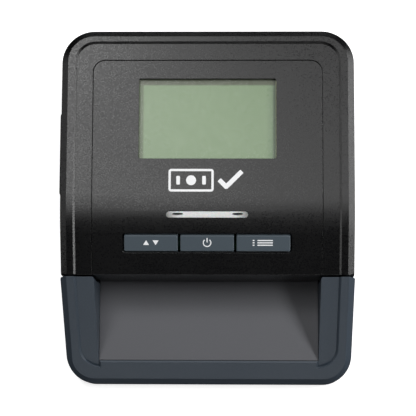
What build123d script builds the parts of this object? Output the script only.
from build123d import *
from math import atan2, cos, degrees, radians, sin, sqrt, tan
import os

# Desktop banknote detector: a grey base with two front arms, a note bed and a roller drive,
# and a black cover with the display, buttons and pressure rollers, hinged along its rear edge.
# X is across the note, -Y is the side the note enters from, Z is up, and Z = 0 is the table.

# Driving dimensions, mm
width = 120.8
depth = 144.0
height = 62.0
rear_radius, front_radius = 13.5, 11.5
base_proud = 0.4
wall = 2.2
foot_height = 2.0
rim_bevel = 2.7
step_bevel = 0.8
seam_gap = 0.2

# Side profile of the rim: flat top, gentle slope with the buttons, then the steep arms
bend_y = -5.0
bend_radius = 50.0
cover_front_y = -28.8
cover_front_z = 54.3
arm_back_y = -29.6
arm_angle = 42.7

# Sunken face inside the rim, and the fascia let into it
rim_drop = 1.0
face_half_width = 54.15
face_rear_y = 66.35
face_radius = 8.0
panel_half_width = 47.1
panel_rear_y = 59.2
panel_radius = 4.7
panel_thickness = 1.4
panel_gap = 0.35
roof_drop = 4.5

# Note path
throat_half_width = 46.8
throat_front_y = -62.5
bed_top = 22.0
bed_thickness = 2.0
guide_low = 24.5
guide_high = 26.5
jaw_low = 25.0

# Seam and hinge
seam_z = 30.0
hinge_y = 64.5
hinge_z = 34.0
roll_radius = 7.5
roll_clearance = 0.3
pin_radius = 1.5
running_gap = 0.05

# Roller drive
front_y = -14.0
rear_y = 46.0
shaft_z = 14.6
shaft_radius = 2.0
drive_radius = 8.0
pinch_radius = 5.0
pinch_gap = 0.3
pinch_z = shaft_z + drive_radius + pinch_gap + pinch_radius
roller_x = 24.0
roller_length = 14.0
plate_inner_x = 49.0
plate_outer_x = 51.0
pulley_radius = 6.0
pulley_x = -54.0

# Gears: tooth counts and modules of the two reduction stages
pinion_teeth, wheel_teeth, stage_one_module = 10, 36, 0.5
small_teeth, drive_teeth, stage_two_module = 12, 24, 0.6
wheel_y, wheel_z = -3.9, 18.4
motor_z = 11.7
gear_two_x = 51.6
gear_one_x = 54.3
gear_width = 2.2

# Display, light bar and buttons
lcd_half_width = 28.3
lcd_front_y, lcd_rear_y = 18.25, 51.66
bar_length, bar_width, bar_y = 33.8, 2.7, -4.8
key_y = -16.5
key_pitch = 23.0
key_length, key_width = 22.0, 6.7
key_rise = 0.7
key_gap = 0.5
key_edge = 0.3
key_travel = 0.6

# Cover release on the left side
release_y, release_z = 21.0, 48.9
release_length, release_height = 34.0, 14.0
release_rise = 0.8

key_opening = 2 * key_pitch + key_length + 2 * key_gap
half_width = width / 2
inner_x = half_width - wall
half_depth = depth / 2
floor_z = foot_height
plate_top = floor_z + 2.0
slope = atan2(height - cover_front_z, bend_y - cover_front_y)
kink_y = (cover_front_y + arm_back_y) / 2
kink_z = height - (bend_y - kink_y) * tan(slope)
stage_one_distance = (pinion_teeth + wheel_teeth) * stage_one_module / 2
motor_y = wheel_y + sqrt(stage_one_distance**2 - (wheel_z - motor_z) ** 2)

os.makedirs("parts", exist_ok=True)


def save(builder, name):
    """Label a finished sub-part and write it as its own STEP file."""
    builder.part.label = name
    export_step(builder.part, f"parts/{name}.step")


def block(x, y, z, mode=Mode.ADD):
    """A box between the two values given on each axis."""
    with Locations(((x[0] + x[1]) / 2, (y[0] + y[1]) / 2, (z[0] + z[1]) / 2)):
        Box(x[1] - x[0], y[1] - y[0], z[1] - z[0], mode=mode)


def post(radius, x, y, z, mode=Mode.ADD):
    """An upright cylinder between two heights."""
    with Locations((x, y, (z[0] + z[1]) / 2)):
        Cylinder(radius, z[1] - z[0], mode=mode)


def rod(radius, x, y, z, mode=Mode.ADD):
    """A cylinder along X between two values of X."""
    with Locations(Location(((x[0] + x[1]) / 2, y, z), (0, 90, 0))):
        Cylinder(radius, x[1] - x[0], mode=mode)


def side_plane(x):
    """A plane facing +X, with its own x along +Y and its y along +Z."""
    return Plane(origin=(x, 0, 0), x_dir=(0, 1, 0), z_dir=(1, 0, 0))


def key_plane(drop):
    """The plane of the buttons: parallel to the gentle slope, drop below the rim surface."""
    y = key_y + drop * sin(slope)
    z = height - (bend_y - key_y) * tan(slope) - drop * cos(slope)
    return Plane(origin=(0, y, z), x_dir=(1, 0, 0), z_dir=(0, -sin(slope), cos(slope)))


# Shared outline solids

def plan_prism(inset, low, high, proud=0):
    """The rounded plan of the object, drawn in by inset, between two heights."""
    with BuildPart() as prism:
        with BuildSketch(Plane.XY.offset(low)) as plan:
            Rectangle(width + 2 * (proud - inset), depth - 2 * inset)
            fillet(plan.vertices().group_by(Axis.Y)[0], radius=front_radius - inset)
            fillet(plan.vertices().group_by(Axis.Y)[-1], radius=rear_radius - inset)
        extrude(amount=high - low)
    return prism.part


def below_profile(drop):
    """Everything under the side profile when that is moved inwards by drop."""
    far = depth
    top = height - drop
    bend = (bend_y + drop * tan(slope / 2), top)
    steep = radians(arm_angle)
    # The two slopes, moved in by drop, meet at the kink in front of the cover
    turn = (steep - slope) / 2
    kink = (
        kink_y + drop * sin(slope + turn) / cos(turn),
        kink_z - drop * cos(slope + turn) / cos(turn),
    )
    foot = (kink[0] - far, kink[1] - far * tan(steep))
    with BuildPart() as solid:
        with BuildSketch(Plane.YZ):
            with BuildLine():
                FilletPolyline((far, top), bend, kink, radius=bend_radius - drop)
                Polyline(kink, foot, (far, foot[1]), (far, top))
            make_face()
        extrude(amount=width, both=True)
    return solid.part


def tray(half_x, front, rear, radius, drop):
    """A cutter that sinks a round-cornered area of the top by drop below the rim."""
    with BuildPart() as cutter:
        with BuildSketch(Plane.XY):
            with Locations((0, (front + rear) / 2)):
                RectangleRounded(2 * half_x, rear - front, radius)
        extrude(amount=2 * height)
        add(below_profile(drop), mode=Mode.SUBTRACT)
    return cutter.part


def side_prism(face, reach=width):
    """A side-view sketch drawn out to both sides."""
    with BuildPart() as prism:
        extrude(face, amount=reach, both=True)
    return prism.part


def on_rim(edge):
    """True for the edges where the top meets the sides, all round the object."""
    middle = edge.center()
    across = abs(edge.tangent_at(0.5).X) > 0.99 and abs(middle.Y) < half_depth - 0.1
    upright = abs(edge.tangent_at(0.5).Z) > 0.99
    return middle.Z > floor_z + 1 and not across and not upright


def outer_body(proud):
    """The whole outside of the object, proud at the sides, with its rim bevelled all round."""
    with BuildPart() as body:
        add(plan_prism(0, floor_z, height + 10, proud))
        add(below_profile(0), mode=Mode.INTERSECT)
        chamfer(body.edges().filter_by(on_rim), length=rim_bevel)
    return body.part


def top_height(y):
    """Height of the rim at a given Y, with the bend taken as sharp."""
    if y > bend_y:
        return height
    gentle = height - (bend_y - y) * tan(slope)
    steep = kink_z - (kink_y - y) * tan(radians(arm_angle))
    return min(gentle, steep)


def on_step(edge):
    """True for the edges where the rim breaks down to the sunken face."""
    middle = edge.center()
    inside = abs(middle.X) < face_half_width + 0.1 and middle.Y < face_rear_y + 0.1
    across = abs(edge.tangent_at(0.5).X) > 0.99 and abs(middle.Y) < face_rear_y - 1
    upright = abs(edge.tangent_at(0.5).Z) > 0.99
    at_top = top_height(middle.Y) - middle.Z < 0.8
    at_wall = abs(middle.X) > face_half_width - face_radius or middle.Y > face_rear_y - 0.1
    return inside and at_top and at_wall and not across and not upright


# Top cover

with BuildSketch(Plane.YZ) as cover_side:
    with BuildLine():
        Polyline(
            (cover_front_y, seam_z + seam_gap / 2),
            (hinge_y, seam_z + seam_gap / 2),
            (hinge_y, hinge_z),
            (depth, hinge_z),
            (depth, 2 * height),
            (cover_front_y, 2 * height),
            close=True,
        )
    make_face()
    with Locations((hinge_y, hinge_z)):
        Circle(roll_radius)

with BuildSketch(Plane.YZ) as cover_hollow:
    with BuildLine():
        Polyline(
            (cover_front_y + wall, 0),
            (hinge_y, 0),
            (hinge_y, hinge_z),
            (depth, hinge_z),
            (depth, 2 * height),
            (cover_front_y + wall, 2 * height),
            close=True,
        )
    make_face()
    with Locations((hinge_y, hinge_z)):
        Circle(roll_radius - wall)

with BuildPart() as cover_cavity:
    add(plan_prism(wall, 0, height + 10))
    add(below_profile(roof_drop), mode=Mode.INTERSECT)
    add(side_prism(cover_hollow.sketch), mode=Mode.INTERSECT)

lug_x = (47.2, 51.2)
knuckle_x = (43.0, 46.9)
lug_radius = 3.5
guide_posts = [(x, y) for x in (-41, 41) for y in (4, 55)]
board_posts = [(x, y) for x in (-33, 33) for y in (14.5, 55.5)]
roof_z = height - roof_drop
vent_count = 7

with BuildPart() as top_cover:
    add(outer_body(0))
    add(side_prism(cover_side.sketch), mode=Mode.INTERSECT)
    add(cover_cavity.part, mode=Mode.SUBTRACT)
    # Upper jaw of the note slot
    block((-46.4, 46.4), (cover_front_y, cover_front_y + wall), (jaw_low, seam_z + 3))
    jaw_edges = top_cover.edges().filter_by(Axis.X).group_by(Axis.Z)[0]
    fillet(jaw_edges, radius=0.8)
    # Sunken face, then the pocket for the fascia
    add(tray(face_half_width, -depth, face_rear_y, face_radius, rim_drop), mode=Mode.SUBTRACT)
    chamfer(top_cover.edges().filter_by(on_step), length=step_bevel)
    pocket_drop = rim_drop + panel_thickness
    pocket = tray(
        panel_half_width + panel_gap,
        -depth,
        panel_rear_y + panel_gap,
        panel_radius + panel_gap,
        pocket_drop,
    )
    add(pocket, mode=Mode.SUBTRACT)
    # Display opening with its window seat, light bar slot and button opening
    lcd_mid_y = (lcd_front_y + lcd_rear_y) / 2
    block((-27, 27), (lcd_front_y + 1, lcd_rear_y - 1), (roof_z - 1, height), Mode.SUBTRACT)
    block((-31.1, 31.1), (15.4, 54.5), (58.4, height), Mode.SUBTRACT)
    with BuildSketch(Plane.XY.offset(50)):
        with Locations((0, bar_y)):
            SlotOverall(bar_length + 0.4, bar_width + 0.4)
    extrude(amount=15, mode=Mode.SUBTRACT)
    with BuildSketch(key_plane(pocket_drop)):
        Rectangle(key_opening + 1.4, key_width + 3.3)
    extrude(amount=-5, mode=Mode.SUBTRACT)
    # Posts under the roof for the display board and the upper guide
    for x, y in board_posts:
        post(2.4, x, y, (53.1, roof_z + 0.5))
    for x, y in guide_posts:
        post(2.8, x, y, (guide_high, roof_z + 0.5))
        post(1.0, x, y, (guide_high, guide_high + 10), Mode.SUBTRACT)
    # Hinge knuckles, hung from the rear wall and roof
    for side in (-1, 1):
        ends = sorted((side * knuckle_x[0], side * knuckle_x[1]))
        rod(lug_radius, ends, hinge_y, hinge_z)
        block(ends, (hinge_y - lug_radius, half_depth - wall + 0.5), (hinge_z, roof_z + 0.5))
        rod(pin_radius + running_gap, ends, hinge_y, hinge_z, Mode.SUBTRACT)
        # Notch for the hinge lug of the base
        notch = sorted((side * (lug_x[0] - 0.3), side * (lug_x[1] + 0.3)))
        block(notch, (hinge_y - 8, half_depth + 1), (20, hinge_z + 1.6), Mode.SUBTRACT)
    # Window for the release button
    block(
        (-half_width - 1, -half_width + wall + 0.5),
        (release_y - release_length / 2 - 0.25, release_y + release_length / 2 + 0.25),
        (release_z - release_height / 2 - 0.25, release_z + release_height / 2 + 0.25),
        Mode.SUBTRACT,
    )
    # Sound vents in the right side
    with BuildSketch(side_plane(half_width - wall - 0.5)):
        with Locations((20, 44)):
            with GridLocations(4, 0, vent_count, 1):
                SlotOverall(12, 1.6, rotation=90)
    extrude(amount=wall + 2, mode=Mode.SUBTRACT)
save(top_cover, "top_cover")


# Fascia plate, light bar and display

def on_key_opening(edge):
    """True for the upper edges of the opening for the buttons."""
    middle = edge.center()
    face = key_plane(rim_drop)
    level = face.origin.Z + (middle.Y - face.origin.Y) * tan(slope)
    inside_x = abs(middle.X) < key_opening / 2 + key_gap
    inside_y = abs(middle.Y - key_y) < key_width / 2 + 2 * key_gap
    return inside_x and inside_y and abs(middle.Z - level) < 0.05


with BuildPart() as front_panel:
    with BuildSketch(Plane.XY):
        with Locations((0, (panel_rear_y + cover_front_y) / 2)):
            Rectangle(2 * panel_half_width, panel_rear_y - cover_front_y)
    extrude(amount=2 * height)
    fillet(front_panel.edges().filter_by(Axis.Z).group_by(Axis.Y)[-1], radius=panel_radius)
    add(below_profile(rim_drop), mode=Mode.INTERSECT)
    add(below_profile(pocket_drop), mode=Mode.SUBTRACT)
    with BuildSketch(Plane.XY.offset(50)):
        with Locations((0, lcd_mid_y)):
            RectangleRounded(2 * lcd_half_width, lcd_rear_y - lcd_front_y, 0.8)
        with Locations((0, bar_y)):
            SlotOverall(bar_length, bar_width)
    extrude(amount=15, mode=Mode.SUBTRACT)
    with BuildSketch(key_plane(rim_drop)):
        RectangleRounded(key_opening, key_width + 2 * key_gap, 1.0)
    extrude(amount=5, both=True, mode=Mode.SUBTRACT)
    chamfer(front_panel.edges().filter_by(on_key_opening), length=key_edge)
save(front_panel, "front_panel")

with BuildPart() as lcd_window:
    block((-31, 31), (15.5, 54.4), (58.4, height - pocket_drop))
    fillet(lcd_window.edges().filter_by(Axis.Z), radius=1.5)
save(lcd_window, "lcd_window")

with BuildPart() as lcd_module:
    block((-30.5, 30.5), (16.5, 53.4), (53.5, 56.4))
    block((-26.5, 26.5), (lcd_front_y + 1.5, lcd_rear_y - 1.5), (56.4, 58.1))
    fillet(lcd_module.edges().filter_by(Axis.Z), radius=0.6)
save(lcd_module, "lcd_module")

with BuildPart() as display_board:
    block((-36, 36), (12, 58), (51.5, 53.1))
    fillet(display_board.edges().filter_by(Axis.Z), radius=1)
    block((-12, -4), (24, 32), (50.0, 51.5))
    block((8, 22), (40, 43), (47.5, 51.5))
    for x in (-24, -19, 2):
        block((x, x + 2.2), (44, 47.2), (50.3, 51.5))
save(display_board, "display_board")

with BuildPart() as light_guide:
    with BuildSketch(Plane.XY.offset(55)):
        with Locations((0, bar_y)):
            SlotOverall(bar_length - 0.2, bar_width - 0.2)
    extrude(amount=10)
    add(below_profile(rim_drop + 0.3), mode=Mode.INTERSECT)
    block((-22, 22), (bar_y - 2.6, bar_y + 3.4), (54.4, 55.8))
save(light_guide, "light_guide")

with BuildPart() as indicator_leds:
    with Locations((-12, bar_y, 52.4), (12, bar_y, 52.4)):
        Cylinder(1.8, 3.6)
    with Locations((-12, bar_y, 50.8), (12, bar_y, 50.8)):
        Cylinder(2.2, 0.8)
save(indicator_leds, "indicator_leds")

with BuildPart() as led_board:
    block((-24, 24), (bar_y - 2.4, bar_y + 10), (48.8, 50.4))
    fillet(led_board.edges().filter_by(Axis.Z), radius=1)
save(led_board, "led_board")


# Buttons

flange_drop = pocket_drop + 0.1
stem_low = 3.0
key_names = ["value_button", "power_button", "mode_button"]

def button(name, x):
    """A long key with a retaining flange under the fascia and a stem for its switch."""
    with BuildPart() as key:
        with BuildSketch(key_plane(rim_drop - key_rise)):
            with Locations((x, 0)):
                RectangleRounded(key_length, key_width, 0.6)
        extrude(amount=-(key_rise + panel_thickness + 0.5))
        crown = key.edges().filter_by(lambda e: e.center().Z > key_top_z(e.center().Y) - 0.05)
        fillet(crown, radius=0.45)
        with BuildSketch(key_plane(flange_drop)):
            with Locations((x, 0)):
                Rectangle(key_length, key_width + 2.4)
        extrude(amount=-0.8)
        with BuildSketch(key_plane(flange_drop + 0.8)):
            with Locations((x, 0)):
                Circle(1.6)
        extrude(amount=-stem_low)
    save(key, name)


def key_top_z(y):
    """Height of the buttons' top plane at a given Y."""
    top = key_plane(rim_drop - key_rise)
    return top.origin.Z + (y - top.origin.Y) * tan(slope)


for index, name in enumerate(key_names):
    button(name, (index - 1) * key_pitch)

switch_drop = flange_drop + 0.8 + stem_low + key_travel + 0.2

with BuildPart() as key_switches:
    for x in (-key_pitch, 0, key_pitch):
        with BuildSketch(key_plane(switch_drop)):
            with Locations((x, 0)):
                Circle(1.5)
        extrude(amount=-0.8)
        with BuildSketch(key_plane(switch_drop + 0.8)):
            with Locations((x, 0)):
                Rectangle(6, 6)
        extrude(amount=-3)
save(key_switches, "key_switches")

with BuildPart() as key_board:
    with BuildSketch(key_plane(switch_drop + 3.8)):
        RectangleRounded(66, 9.6, 1)
    extrude(amount=-1.6)
save(key_board, "key_board")


# Cover release button

with BuildPart() as release_button:
    release_low = release_z - release_height / 2
    with BuildSketch(side_plane(-half_width + wall)):
        with Locations((release_y, release_z)):
            RectangleRounded(release_length, release_height, 1.5)
    extrude(amount=-(wall + release_rise))
    fillet(release_button.faces().sort_by(Axis.X)[0].edges(), radius=0.5)
    with BuildSketch(side_plane(-half_width + wall + 0.2)):
        with Locations((release_y, release_z)):
            RectangleRounded(release_length + 4, release_height + 2, 1.5)
    extrude(amount=1.2)
    block(
        (-inner_x - 0.1, -inner_x + 0.3),
        (release_y - 14, release_y + 14),
        (release_low + 2, release_low + 12),
    )
    # Hook arm that reaches down to the catch in the base
    block((-inner_x + 1.2, -inner_x + 2.8), (release_y - 4, release_y + 4), (24.8, release_low))
    block((-inner_x + 1.2, -inner_x + 4.2), (release_y - 4, release_y + 4), (24.8, 26.4))
save(release_button, "release_button")


# Upper note guide, sensors and pressure rollers

bracket_x = (39.4, 41.4)

with BuildPart() as upper_guide:
    block((-46, 46), (-26.2, 58), (guide_low, guide_high))
    # Lead-in at the mouth and at the exit
    mouth = upper_guide.edges().filter_by(Axis.X).group_by(Axis.Z)[0].sort_by(Axis.Y)
    chamfer([mouth[0], mouth[-1]], length=1.5)
    for x in (-roller_x, roller_x):
        for y in (front_y, rear_y):
            across = (x - roller_length / 2 - 1, x + roller_length / 2 + 1)
            block(across, (y - 5.6, y + 5.6), (guide_low, guide_high), Mode.SUBTRACT)
    block((-8.4, 8.4), (29.6, 36.4), (guide_low, guide_high), Mode.SUBTRACT)
    block((-40, 40), (18, 26), (guide_low, guide_high), Mode.SUBTRACT)
    # Axle brackets and stiffening ribs
    for side in (-1, 1):
        ends = sorted((side * bracket_x[0], side * bracket_x[1]))
        for y in (front_y, rear_y):
            block(ends, (y - 3.4, y + 3.4), (guide_high, pinch_z + 3.2))
            rod(pin_radius + running_gap, ends, y, pinch_z, Mode.SUBTRACT)
        block(sorted((side * 44.4, side * 46)), (-26.2, 52), (guide_high, guide_high + 4))
    # Grooves that keep the plate clear of the turning axles
    for y in (front_y, rear_y):
        block((-43.6, 43.6), (y - 2.2, y + 2.2), (guide_high - 0.6, guide_high), Mode.SUBTRACT)
    for x, y in guide_posts:
        post(1.3, x, y, (guide_low, guide_high), Mode.SUBTRACT)
save(upper_guide, "upper_guide")

with BuildPart() as upper_sensor_window:
    block((-39.9, 39.9), (18.1, 25.9), (guide_low + 0.2, guide_high))
save(upper_sensor_window, "upper_sensor_window")

with BuildPart() as upper_sensor_board:
    block((-42, 42), (16.4, 27.6), (29.6, 31.2))
    for x in (-30, -18, -6, 6, 18, 30):
        block((x - 1.8, x + 1.8), (20, 24), (28.2, 29.6))
    for x in (-40.5, 40.5):
        post(1.5, x, 22, (guide_high, 29.6))
save(upper_sensor_board, "upper_sensor_board")

with BuildPart() as magnetic_head:
    block((-8, 8), (30, 36), (guide_low + 0.2, 31))
    fillet(magnetic_head.edges().filter_by(Axis.X).group_by(Axis.Z)[0], radius=1.4)
    block((-10, 10), (29.4, 36.6), (guide_high, guide_high + 1))
save(magnetic_head, "magnetic_head")

with BuildPart() as pinch_springs:
    for side in (-1, 1):
        for y in (front_y, rear_y):
            ends = sorted((side * (bracket_x[0] - 0.6), side * (bracket_x[1] + 0.6)))
            block(ends, (y - 5.2, y + 5.2), (pinch_z + 3.2, pinch_z + 3.6))
            for offset in (-5.2, 4.8):
                block(ends, (y + offset, y + offset + 0.4), (guide_high, pinch_z + 3.6))
save(pinch_springs, "pinch_springs")

for place, y in (("front", front_y), ("rear", rear_y)):
    with BuildPart() as pinch_axle:
        rod(pin_radius, (-43.2, 43.2), y, pinch_z)
    save(pinch_axle, f"pinch_axle_{place}")
    with BuildPart() as pinch_rollers:
        for x in (-roller_x, roller_x):
            ends = (x - roller_length / 2 + 1, x + roller_length / 2 - 1)
            rod(pinch_radius, ends, y, pinch_z)
        fillet(pinch_rollers.edges().filter_by(GeomType.CIRCLE), radius=0.5)
        rod(pin_radius, (-40, 40), y, pinch_z, Mode.SUBTRACT)
    save(pinch_rollers, f"pinch_rollers_{place}")

with BuildPart() as cover_screws:
    for x, y in guide_posts:
        post(2.0, x, y, (guide_low - 1.2, guide_low))
        post(0.95, x, y, (guide_low, guide_high + 8))
save(cover_screws, "cover_screws")


# Base shell

with BuildSketch(Plane.YZ) as base_side:
    with BuildLine():
        Polyline(
            (-depth, 0),
            (depth, 0),
            (depth, hinge_z - roll_radius - roll_clearance - 0.1),
            (hinge_y, hinge_z - roll_radius - roll_clearance - 0.1),
            (hinge_y, seam_z - seam_gap / 2),
            (arm_back_y, seam_z - seam_gap / 2),
            (arm_back_y, 2 * height),
            (-depth, 2 * height),
            close=True,
        )
    make_face()
    with Locations((hinge_y, hinge_z)):
        Circle(roll_radius + roll_clearance, mode=Mode.SUBTRACT)

with BuildSketch(Plane.YZ) as base_hollow:
    with BuildLine():
        Polyline(
            (-depth, 0),
            (depth, 0),
            (depth, 60),
            (arm_back_y + 0.1, 60),
            (arm_back_y + 0.1, seam_z - wall),
            (arm_back_y - wall, seam_z - wall),
            (arm_back_y - wall, 2 * height),
            (-depth, 2 * height),
            close=True,
        )
    make_face()

with BuildPart() as base_cavity:
    add(plan_prism(wall, 0, height + 10))
    add(below_profile(rim_drop + wall), mode=Mode.INTERSECT)
    add(side_prism(base_hollow.sketch), mode=Mode.INTERSECT)

base_body = outer_body(base_proud)

with BuildPart() as arm_walls:
    for side in (-1, 1):
        ends = sorted((side * throat_half_width, side * (throat_half_width + 2)))
        block(ends, (throat_front_y - 4, arm_back_y), (14, height))
    add(base_body, mode=Mode.INTERSECT)

with BuildPart() as arm_step:
    with BuildSketch(Plane.XY):
        with Locations((0, -50)):
            RectangleRounded(2 * face_half_width, 30, 7.6)
        with Locations((0, -30)):
            Rectangle(2 * face_half_width, 30)
        Rectangle(2 * throat_half_width, 2 * depth, mode=Mode.SUBTRACT)
    extrude(amount=2 * height)
    add(below_profile(rim_drop), mode=Mode.SUBTRACT)

def on_arm_tip(edge):
    """True for the upright corners at the back of the arms."""
    middle = edge.center()
    upright = abs(edge.tangent_at(0.5).Z) > 0.99
    return upright and abs(middle.Y - arm_back_y) < 0.05 and middle.Z > seam_z + 5 and edge.length > 10


tip_radius = 0.8
lip_top = bed_top + 0.6
jack_x, jack_z = 28.0, 10.0

with BuildPart() as base_shell:
    add(base_body)
    add(side_prism(base_side.sketch), mode=Mode.INTERSECT)
    add(base_cavity.part, mode=Mode.SUBTRACT)
    add(arm_walls.part)
    throat = (-throat_half_width, throat_half_width)
    block(throat, (throat_front_y, arm_back_y + 0.2), (12, height + 10), Mode.SUBTRACT)
    add(arm_step.part, mode=Mode.SUBTRACT)
    chamfer(base_shell.edges().filter_by(on_step), length=step_bevel)
    block(throat, (throat_front_y - 3, throat_front_y + 0.1), (lip_top, height), Mode.SUBTRACT)
    fillet(base_shell.edges().filter_by(on_arm_tip), radius=tip_radius)
    # Note exit: the rear wall is lower than the bed between the hinge lugs
    block((-46.4, 46.4), (half_depth - wall - 1, half_depth + 1), (20.3, 40), Mode.SUBTRACT)
    # Hinge lugs
    for side in (-1, 1):
        ends = sorted((side * lug_x[0], side * lug_x[1]))
        block(ends, (hinge_y - lug_radius, hinge_y + 2.5), (plate_top + 0.2, hinge_z))
        block(ends, (hinge_y, half_depth - wall + 0.3), (plate_top + 0.2, 24))
        rod(lug_radius, ends, hinge_y, hinge_z)
        rod(pin_radius, ends, hinge_y, hinge_z, Mode.SUBTRACT)
    # Catch for the cover's hook, on the left wall
    block((-inner_x - 0.1, -inner_x + 0.8), (release_y - 5, release_y + 5), (26.8, 28.4))
    # Hole for the supply jack
    with Locations(Location((jack_x, half_depth, jack_z), (90, 0, 0))):
        Cylinder(4.2, 3 * wall, mode=Mode.SUBTRACT)
save(base_shell, "base_shell")


# Bottom cover, feet and screws

bed_posts = [(x, y) for x in (-40, 40) for y in (-50, 62)]
foot_places = [(x, y) for x in (-48, 48) for y in (-58, 58)]

with BuildPart() as bottom_cover:
    add(plan_prism(wall + 0.2, floor_z, plate_top))
    with GridLocations(80, 112, 2, 2):
        with Locations((0, 6, floor_z)):
            CounterBoreHole(radius=1.4, counter_bore_radius=2.6, counter_bore_depth=1.0, depth=5)
    with BuildSketch(Plane.XY.offset(floor_z)):
        with Locations((0, 26)):
            with GridLocations(0, 4, 1, 6):
                SlotOverall(30, 1.8)
    extrude(amount=5, mode=Mode.SUBTRACT)
    with GridLocations(96, 116, 2, 2):
        Cylinder(6.2, 2 * (floor_z + 0.6), mode=Mode.SUBTRACT)
    for side in (-1, 1):
        for y in (front_y - 8, rear_y + 8):
            block(sorted((side * 46.2, side * 48.9)), (y - 3, y + 3), (plate_top, plate_top + 5))
save(bottom_cover, "bottom_cover")

for place, (x, y) in zip(("front_left", "rear_left", "front_right", "rear_right"), foot_places):
    with BuildPart() as foot:
        with Locations((x, y, (floor_z + 0.6) / 2)):
            Cylinder(6.0, floor_z + 0.6)
        fillet(foot.faces().sort_by(Axis.Z)[0].edges(), radius=0.8)
    save(foot, f"foot_{place}")

with BuildPart() as bottom_screws:
    for x, y in bed_posts:
        post(2.4, x, y, (floor_z + 0.1, floor_z + 1.0))
        post(1.2, x, y, (floor_z + 1.0, 14))
        block((x - 1.8, x + 1.8), (y - 0.3, y + 0.3), (floor_z, floor_z + 0.6), Mode.SUBTRACT)
save(bottom_screws, "bottom_screws")


# Note bed

with BuildPart() as note_bed:
    with BuildSketch(Plane.YZ):
        with BuildLine():
            Polyline(
                (throat_front_y + 0.2, bed_top),
                (54, bed_top),
                (half_depth - wall - 0.2, 20.4),
                (half_depth - wall - 0.2, 20.4 - bed_thickness),
                (54, bed_top - bed_thickness),
                (throat_front_y + 0.2, bed_top - bed_thickness),
                close=True,
            )
        make_face()
    extrude(amount=throat_half_width - 0.1, both=True)
    for x in (-roller_x, roller_x):
        for y in (front_y, rear_y):
            across = (x - roller_length / 2 - 1, x + roller_length / 2 + 1)
            block(across, (y - 6.6, y + 6.6), (18, bed_top + 1), Mode.SUBTRACT)
    block((-40, 40), (18, 26), (18, bed_top + 1), Mode.SUBTRACT)
    for x, y in bed_posts:
        post(3.2, x, y, (plate_top, bed_top - 1.5))
        post(1.2, x, y, (plate_top, 14), Mode.SUBTRACT)
    # Long ribs under the bed that guide the note's edges straight
    for x in (-30, -10, 10, 30):
        block((x - 0.6, x + 0.6), (throat_front_y + 2, -32), (17, bed_top - 1))
save(note_bed, "note_bed")

with BuildPart() as lower_sensor_window:
    block((-39.9, 39.9), (18.1, 25.9), (20.6, bed_top - 0.1))
save(lower_sensor_window, "lower_sensor_window")

with BuildPart() as lower_sensor_board:
    block((-42, 42), (16.4, 30), (16.0, 17.6))
    for x in (-30, -18, -6, 6, 18, 30):
        block((x - 1.8, x + 1.8), (20, 24), (17.6, 19.0))
    for x in (-41, 41):
        block((x - 1, x + 1), (26.5, 29.5), (17.6, bed_top - bed_thickness))
save(lower_sensor_board, "lower_sensor_board")


# Side plates, bushes and shafts

stud_radius = 1.2

def side_plate(name, side):
    """A steel plate that carries both shafts; the right one also holds the motor."""
    with BuildPart() as plate:
        with BuildSketch(side_plane(plate_inner_x)):
            with Locations(((front_y + rear_y) / 2, 15.2)):
                RectangleRounded(rear_y - front_y + 20, 2 * (15.2 - plate_top), 3)
            for y in (front_y, rear_y):
                with Locations((y, shaft_z)):
                    Circle(shaft_radius + 1.4, mode=Mode.SUBTRACT)
            with Locations((28, 15)):
                SlotOverall(16, 7, mode=Mode.SUBTRACT)
            if side > 0:
                with Locations((motor_y, motor_z)):
                    Circle(3.4, mode=Mode.SUBTRACT)
                with Locations((wheel_y, wheel_z)):
                    Circle(stud_radius, mode=Mode.SUBTRACT)
        extrude(amount=plate_outer_x - plate_inner_x)
        if side < 0:
            mirror(about=Plane.YZ, mode=Mode.REPLACE)
    save(plate, name)


side_plate("side_plate_left", -1)
side_plate("side_plate_right", 1)

for end, y in (("front", front_y), ("rear", rear_y)):
    for hand, side in (("left", -1), ("right", 1)):
        with BuildPart() as bush:
            span = sorted((side * plate_inner_x, side * plate_outer_x))
            flange = sorted((side * (plate_inner_x - 0.8), side * plate_inner_x))
            rod(shaft_radius + 1.4, span, y, shaft_z)
            rod(shaft_radius + 2.4, flange, y, shaft_z)
            whole = sorted((side * 48, side * 52))
            rod(shaft_radius + running_gap, whole, y, shaft_z, Mode.SUBTRACT)
        save(bush, f"bush_{end}_{hand}")

for end, y, reach in (("front", front_y, 54.0), ("rear", rear_y, 51.6)):
    with BuildPart() as shaft:
        rod(shaft_radius, (-56.2, reach), y, shaft_z)
        chamfer(shaft.edges().filter_by(GeomType.CIRCLE), length=0.3)
    save(shaft, f"{end}_shaft")
    for hand, x in (("left", -roller_x), ("right", roller_x)):
        with BuildPart() as roller:
            rod(drive_radius, (x - roller_length / 2, x + roller_length / 2), y, shaft_z)
            fillet(roller.edges().filter_by(GeomType.CIRCLE), radius=0.5)
            rod(shaft_radius, (x - 8, x + 8), y, shaft_z, Mode.SUBTRACT)
        save(roller, f"{end}_roller_{hand}")
    with BuildPart() as pulley:
        rod(pulley_radius, (pulley_x - 1.8, pulley_x + 1.8), y, shaft_z)
        for x in (pulley_x - 2.1, pulley_x + 1.8):
            rod(pulley_radius + 1.2, (x, x + 0.3), y, shaft_z)
        rod(shaft_radius, (pulley_x - 3, pulley_x + 3), y, shaft_z, Mode.SUBTRACT)
    save(pulley, f"{end}_pulley")

belt_inner = pulley_radius + 0.3
belt_thickness = 0.8

with BuildPart() as timing_belt:
    with BuildSketch(side_plane(pulley_x - 1.4)):
        with Locations(((front_y + rear_y) / 2, shaft_z)):
            outer = belt_inner + belt_thickness
            SlotCenterToCenter(rear_y - front_y, 2 * outer)
            SlotCenterToCenter(rear_y - front_y, 2 * belt_inner, mode=Mode.SUBTRACT)
    extrude(amount=2.8)
save(timing_belt, "timing_belt")


# Motor and gears

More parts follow.
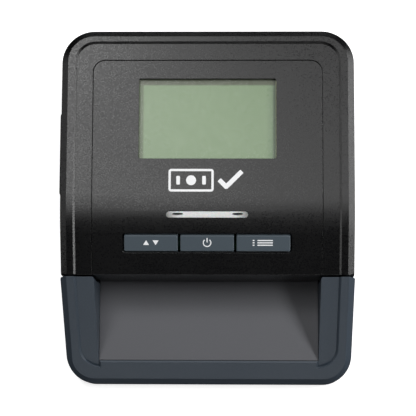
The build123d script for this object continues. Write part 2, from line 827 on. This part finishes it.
def mesh_turn(turn, teeth, mate_teeth, heading):
    """Turn of a gear's mate, in degrees, so that a tooth meets a gap along the heading."""
    pitch, mate_pitch = 360 / teeth, 360 / mate_teeth
    return heading + 180 + mate_pitch * (0.5 - (turn - heading) / pitch)


def gear_teeth(teeth, module, turn, x, y, z):
    """The outline of a spur gear as a sketch on a plane facing +X."""
    pitch = teeth * module / 2
    root, tip = pitch - 1.15 * module, pitch + 0.8 * module
    with BuildSketch(Plane(origin=(x, y, z), x_dir=(0, 1, 0), z_dir=(1, 0, 0))) as face:
        Circle(root)
        with PolarLocations(0, teeth, start_angle=turn):
            Polygon(
                (root - 0.3 * module, -0.9 * module),
                (root, -0.85 * module),
                (pitch, -0.62 * module),
                (tip, -0.3 * module),
                (tip, 0.3 * module),
                (pitch, 0.62 * module),
                (root, 0.85 * module),
                (root - 0.3 * module, 0.9 * module),
                align=None,
            )
    return face.sketch


drive_turn = 0.0
heading_two = degrees(atan2(wheel_z - shaft_z, wheel_y - front_y))
heading_one = degrees(atan2(motor_z - wheel_z, motor_y - wheel_y))
wheel_turn = 0.0
small_turn = mesh_turn(drive_turn, drive_teeth, small_teeth, heading_two)
pinion_turn = mesh_turn(wheel_turn, wheel_teeth, pinion_teeth, heading_one)

with BuildPart() as motor:
    with BuildSketch(side_plane(24)):
        with Locations((motor_y, motor_z)):
            RectangleRounded(20, 15, 7.4)
    extrude(amount=25)
    fillet(motor.edges().filter_by(GeomType.CIRCLE), radius=0.8)
    rod(3.3, (48.5, 51.0), motor_y, motor_z)
    rod(2.6, (21.8, 24.5), motor_y, motor_z)
    rod(0.9, (48, 52), motor_y, motor_z, Mode.SUBTRACT)
save(motor, "motor")

with BuildPart() as motor_pinion:
    extrude(
        gear_teeth(pinion_teeth, stage_one_module, pinion_turn, gear_one_x, motor_y, motor_z),
        amount=gear_width,
    )
    rod(0.85, (48.4, gear_one_x + 0.5), motor_y, motor_z)
save(motor_pinion, "motor_pinion")

with BuildPart() as gear_stud:
    rod(stud_radius, (plate_inner_x, 56.9), wheel_y, wheel_z)
    rod(2.0, (56.7, 57.2), wheel_y, wheel_z)
save(gear_stud, "gear_stud")

with BuildPart() as reduction_gear:
    extrude(
        gear_teeth(wheel_teeth, stage_one_module, wheel_turn, gear_one_x, wheel_y, wheel_z),
        amount=gear_width,
    )
    extrude(
        gear_teeth(small_teeth, stage_two_module, small_turn, gear_two_x, wheel_y, wheel_z),
        amount=gear_one_x - gear_two_x,
    )
    rod(stud_radius + running_gap, (50, 58), wheel_y, wheel_z, Mode.SUBTRACT)
save(reduction_gear, "reduction_gear")

with BuildPart() as drive_gear:
    extrude(
        gear_teeth(drive_teeth, stage_two_module, drive_turn, gear_two_x, front_y, shaft_z),
        amount=gear_width,
    )
    rod(shaft_radius, (gear_two_x - 1, gear_two_x + 5), front_y, shaft_z, Mode.SUBTRACT)
save(drive_gear, "drive_gear")


# Electronics in the base and hinge pins

with BuildPart() as main_board:
    block((-44, 44), (17, 36), (6.4, 8.0))
    fillet(main_board.edges().filter_by(Axis.Z), radius=1)
    block((-20, -8), (21, 33), (8.0, 9.6))
    block((10, 18), (24, 30), (8.0, 9.4))
    with Locations((-32, 26.5, 10.5), (26, 26.5, 10.0)):
        Cylinder(3, 5)
    block((33, 42), (20, 24), (8.0, 13.5))
    for x in (-42, 42):
        for y in (19, 34):
            post(1.6, x, y, (plate_top, 6.4))
save(main_board, "main_board")

with BuildPart() as buzzer:
    with Locations((46, 20, 44)):
        Cylinder(6, 5.2)
    with Locations((46, 20, 46.2)):
        Cylinder(1.2, 1, mode=Mode.SUBTRACT)
    block((44.6, 47.4), (14.5, 25.5), (46.6, roof_z))
save(buzzer, "buzzer")

with BuildPart() as dc_jack:
    block((jack_x - 4.6, jack_x + 4.6), (58.5, half_depth - wall), (jack_z - 4.6, jack_z + 4.6))
    with Locations(Location((jack_x, half_depth - wall / 2, jack_z), (90, 0, 0))):
        Cylinder(4.0, wall)
    with Locations(Location((jack_x, half_depth - 4.5, jack_z), (90, 0, 0))):
        Cylinder(2.75, 9.4, mode=Mode.SUBTRACT)
    with Locations(Location((jack_x, half_depth - 5.5, jack_z), (90, 0, 0))):
        Cylinder(1.0, 8)
save(dc_jack, "dc_jack")

for hand, side in (("left", -1), ("right", 1)):
    with BuildPart() as hinge_pin:
        rod(pin_radius, sorted((side * knuckle_x[0], side * (lug_x[1] + 0.6))), hinge_y, hinge_z)
    save(hinge_pin, f"hinge_pin_{hand}")
